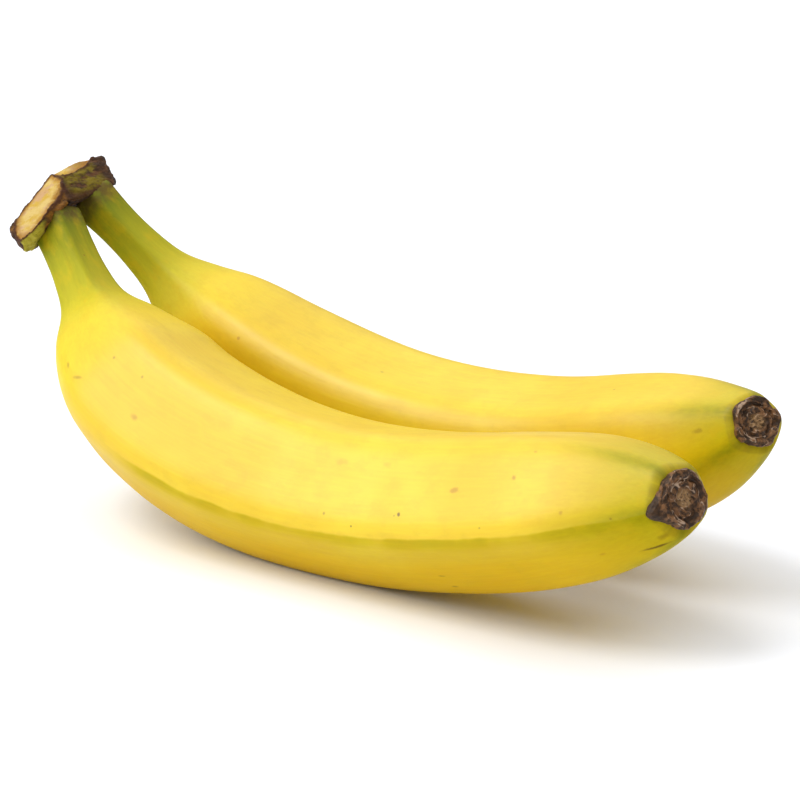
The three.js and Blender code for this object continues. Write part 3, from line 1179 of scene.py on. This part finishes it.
@dataclass
class Studio:
    """The pale floor, the soft lamps and the camera."""

    target: tuple[float, float, float] = (7.0, 1.2, 34.2)
    azimuth: float = 42.0
    elevation: float = 17.0
    distance: float = 771.877
    focal_px: float = 3495.275
    image_px: float = 800.0
    sensor: float = 36.0
    floor_width: float = 12.0
    sky: float = 0.3
    overheads: Sequence[Overhead] = (
        Overhead("wide_overhead", (-0.22, 0.05, 0.97), 115.0, 2.3),
        Overhead("key_overhead", (-0.18, -0.48, 0.86), 26.0, 1.15),
    )
    lamps: Sequence[SoftBox] = (
        SoftBox("left_box", (-0.715, -0.97, 0.61), 0.8, 6.0),
    )

    def build_floor(self) -> Object:
        """Lay the floor under the bunch.

        Returns:
            The floor, marked as stage.
        """
        bm = bmesh.new()
        bmesh.ops.create_grid(bm, x_segments=2, y_segments=2, size=self.floor_width / 2 / MM)
        floor = finish_mesh("floor", bm)
        floor.data.materials.append(PaperFinish().material())
        return floor

    def build_lamps(self) -> None:
        """Hang the soft boxes, each facing the bunch, and light the room evenly."""
        for box in self.lamps:
            lamp = bpy.data.lights.new(box.name, "AREA")
            lamp.shape = "DISK"
            lamp.size = box.width
            lamp.energy = box.watts
            holder = placed(box.name, lamp)
            holder.location = box.place
            aim = Vector(self.target) * MM - Vector(box.place)
            holder.rotation_euler = aim.to_track_quat("-Z", "Y").to_euler()
        for overhead in self.overheads:
            sun = bpy.data.lights.new(overhead.name, "SUN")
            sun.angle = math.radians(overhead.spread)
            sun.energy = overhead.strength
            holder = placed(overhead.name, sun)
            holder.rotation_euler = Vector(overhead.towards).to_track_quat("Z", "Y").to_euler()
        room = bpy.data.worlds.new("white_room")
        room.use_nodes = True
        room.node_tree.nodes.clear()
        sky = add(room.node_tree, Node.SKY, linear("ffffff"), self.sky)
        add(room.node_tree, Node.WORLD, sky)
        bpy.context.scene.world = room
        bpy.context.scene.view_settings.view_transform = "Standard"

    def build_camera(self) -> Object:
        """Place the camera at the photograph's viewing angle.

        Returns:
            The camera.
        """
        camera = bpy.data.cameras.new("camera")
        camera.sensor_width = self.sensor
        camera.lens = self.focal_px * self.sensor / self.image_px
        holder = placed("camera", camera)
        a, e = math.radians(self.azimuth), math.radians(self.elevation)
        back = Vector((math.sin(a) * math.cos(e), -math.cos(a) * math.cos(e), math.sin(e)))
        holder.location = (Vector(self.target) + back * self.distance) * MM
        holder.rotation_euler = (-back).to_track_quat("-Z", "Y").to_euler()
        bpy.context.scene.camera = holder
        return holder


def main() -> None:
    """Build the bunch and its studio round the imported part."""
    logging.basicConfig(level=logging.INFO, format="%(message)s")
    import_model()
    studio = Studio()
    studio.build_camera()
    studio.build_floor()
    studio.build_lamps()

    peel = PeelFinish()
    front = Banana("dressed_front_banana", "front_banana", "peel", FRONT_FORM, FRONT_MARKS,
                   {1: 1.0, 2: 0.3}, seed=3.0)
    back = Banana("dressed_back_banana", "back_banana", "peel", BACK_FORM, BACK_MARKS,
                  {0: 0.15, 1: 0.3}, seed=11.0)
    for banana, side in ((front, "front"), (back, "back")):
        material = peel.material(f"ripe_banana_peel_{side}", banana.marks, banana.form)
        banana.dress(banana.build(), material)
    crown = Crown("dressed_crown", "crown", "crown")
    crown.dress(crown.build(), CrownFinish().material())
    husk = HuskFinish().material()
    for scar in (
            BlossomScar("dressed_front_scar", "front_scar", "scar", FRONT_FORM, 5.7, True, 2.0),
            BlossomScar("dressed_back_scar", "back_scar", "scar", BACK_FORM, 5.1, seed=6.0)):
        scar.dress(scar.build(), husk)


if __name__ == "__main__":
    main()
